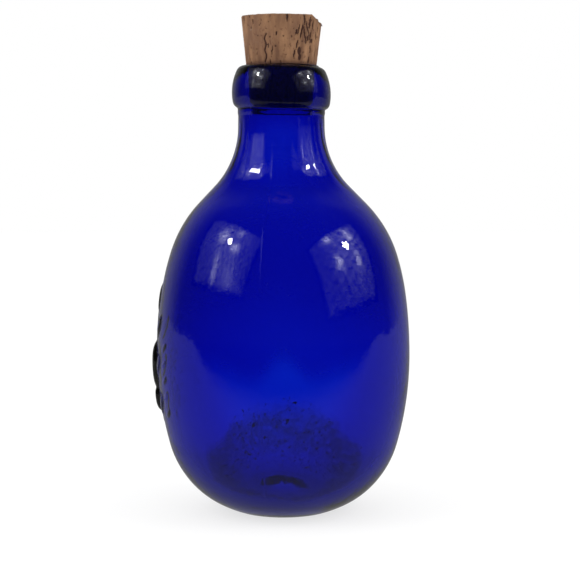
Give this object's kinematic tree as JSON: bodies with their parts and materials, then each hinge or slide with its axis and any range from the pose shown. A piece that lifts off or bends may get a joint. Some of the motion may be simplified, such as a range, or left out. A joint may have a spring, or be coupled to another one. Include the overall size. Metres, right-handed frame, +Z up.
{
  "type": "corked glass bottle",
  "caption": "Egg-shaped bottle of deep blue glass with an applied lip, a raised sprig on one flank and a tapered cork that pulls out.",
  "frame": {"origin": "centre of the standing ring, in the plane that the bottle stands on", "axes": "+Z up the bottle's axis towards the cork; the raised sprig faces -X"},
  "size_m": [0.0801, 0.0784, 0.153],
  "materials": {
    "blue_glass": "gloss, hand-blown, slightly wavy",
    "cork": "matt natural cork with dark pores"
  },
  "bodies": {
    "bottle": {"glass_body": "blue_glass", "lip_ring": "blue_glass"},
    "stopper": {"cork": "cork"}
  },
  "joints": [
    {"name": "cork_pull", "type": "slide", "parent": "bottle", "child": "stopper", "axis": [0, 0, 1], "range_m": [0, 0.04]}
  ]
}
